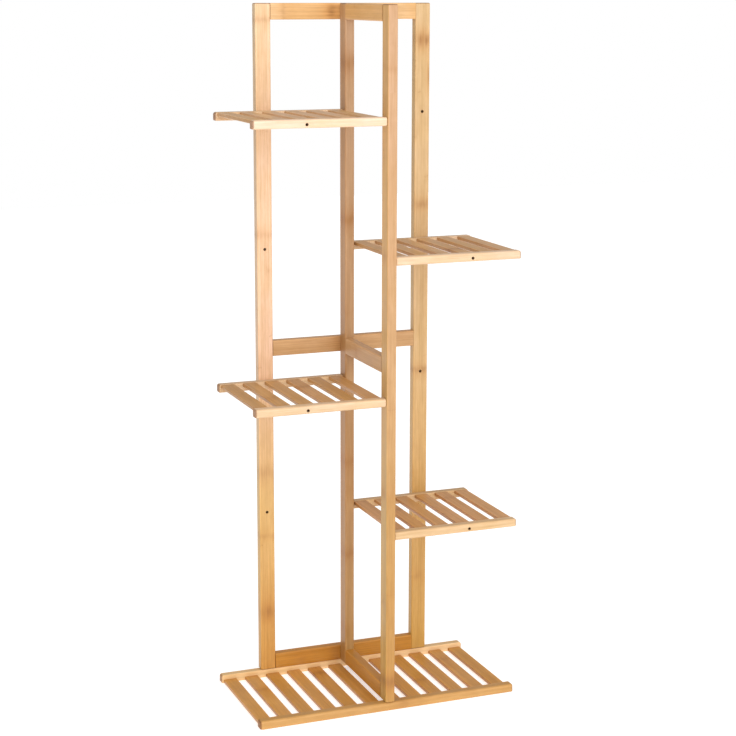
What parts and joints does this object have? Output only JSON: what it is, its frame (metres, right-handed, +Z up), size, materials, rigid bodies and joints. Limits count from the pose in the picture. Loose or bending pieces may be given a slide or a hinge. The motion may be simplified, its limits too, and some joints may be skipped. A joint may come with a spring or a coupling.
{
  "type": "tiered plant stand",
  "caption": "Free-standing bamboo plant stand: a slatted base, crossed upright frames and small slatted shelves that step up on alternate sides.",
  "frame": {"origin": "middle of the footprint, on the floor", "axes": "+Z up, +X to the right seen from the front, +Y to the back; the back frame stands in the XZ plane and the centre frame in the YZ plane"},
  "size_m": [0.396, 0.2, 1],
  "materials": {
    "frame_bamboo": "satin clear lacquer on laminated bamboo",
    "slat_bamboo": "satin clear lacquer on bamboo strip",
    "dowel_wood": "bare turned wood",
    "screw_steel": "zinc plated"
  },
  "bodies": {
    "root": {"back_bottom_rail": "frame_bamboo", "back_left_post": "frame_bamboo", "back_mid_rail": "frame_bamboo", "back_right_post": "frame_bamboo", "back_screws": "screw_steel", "back_top_rail": "frame_bamboo", "base_back_rail": "frame_bamboo", "base_front_rail": "frame_bamboo", "base_slat_01": "slat_bamboo", "base_slat_02": "slat_bamboo", "base_slat_03": "slat_bamboo", "base_slat_04": "slat_bamboo", "base_slat_05": "slat_bamboo", "base_slat_06": "slat_bamboo", "base_slat_07": "slat_bamboo", "base_slat_08": "slat_bamboo", "base_slat_09": "slat_bamboo", "base_slat_10": "slat_bamboo", "base_slat_11": "slat_bamboo", "base_slat_12": "slat_bamboo", "centre_bottom_rail": "frame_bamboo", "centre_front_post": "frame_bamboo", "centre_mid_rail": "frame_bamboo", "centre_rear_post": "frame_bamboo", "centre_top_rail": "frame_bamboo", "foot_screws": "screw_steel", "frame_dowels": "dowel_wood", "shelf_a_back_rail": "frame_bamboo", "shelf_a_front_rail": "frame_bamboo", "shelf_a_slat_1": "slat_bamboo", "shelf_a_slat_2": "slat_bamboo", "shelf_a_slat_3": "slat_bamboo", "shelf_a_slat_4": "slat_bamboo", "shelf_a_slat_5": "slat_bamboo", "shelf_a_slat_6": "slat_bamboo", "shelf_b_back_rail": "frame_bamboo", "shelf_b_front_rail": "frame_bamboo", "shelf_b_slat_1": "slat_bamboo", "shelf_b_slat_2": "slat_bamboo", "shelf_b_slat_3": "slat_bamboo", "shelf_b_slat_4": "slat_bamboo", "shelf_b_slat_5": "slat_bamboo", "shelf_b_slat_6": "slat_bamboo", "shelf_c_back_rail": "frame_bamboo", "shelf_c_front_rail": "frame_bamboo", "shelf_c_slat_1": "slat_bamboo", "shelf_c_slat_2": "slat_bamboo", "shelf_c_slat_3": "slat_bamboo", "shelf_c_slat_4": "slat_bamboo", "shelf_c_slat_5": "slat_bamboo", "shelf_c_slat_6": "slat_bamboo", "shelf_d_back_rail": "frame_bamboo", "shelf_d_front_rail": "frame_bamboo", "shelf_d_slat_1": "slat_bamboo", "shelf_d_slat_2": "slat_bamboo", "shelf_d_slat_3": "slat_bamboo", "shelf_d_slat_4": "slat_bamboo", "shelf_d_slat_5": "slat_bamboo", "shelf_d_slat_6": "slat_bamboo", "shelf_end_dowels": "dowel_wood"}
  },
  "joints": []
}
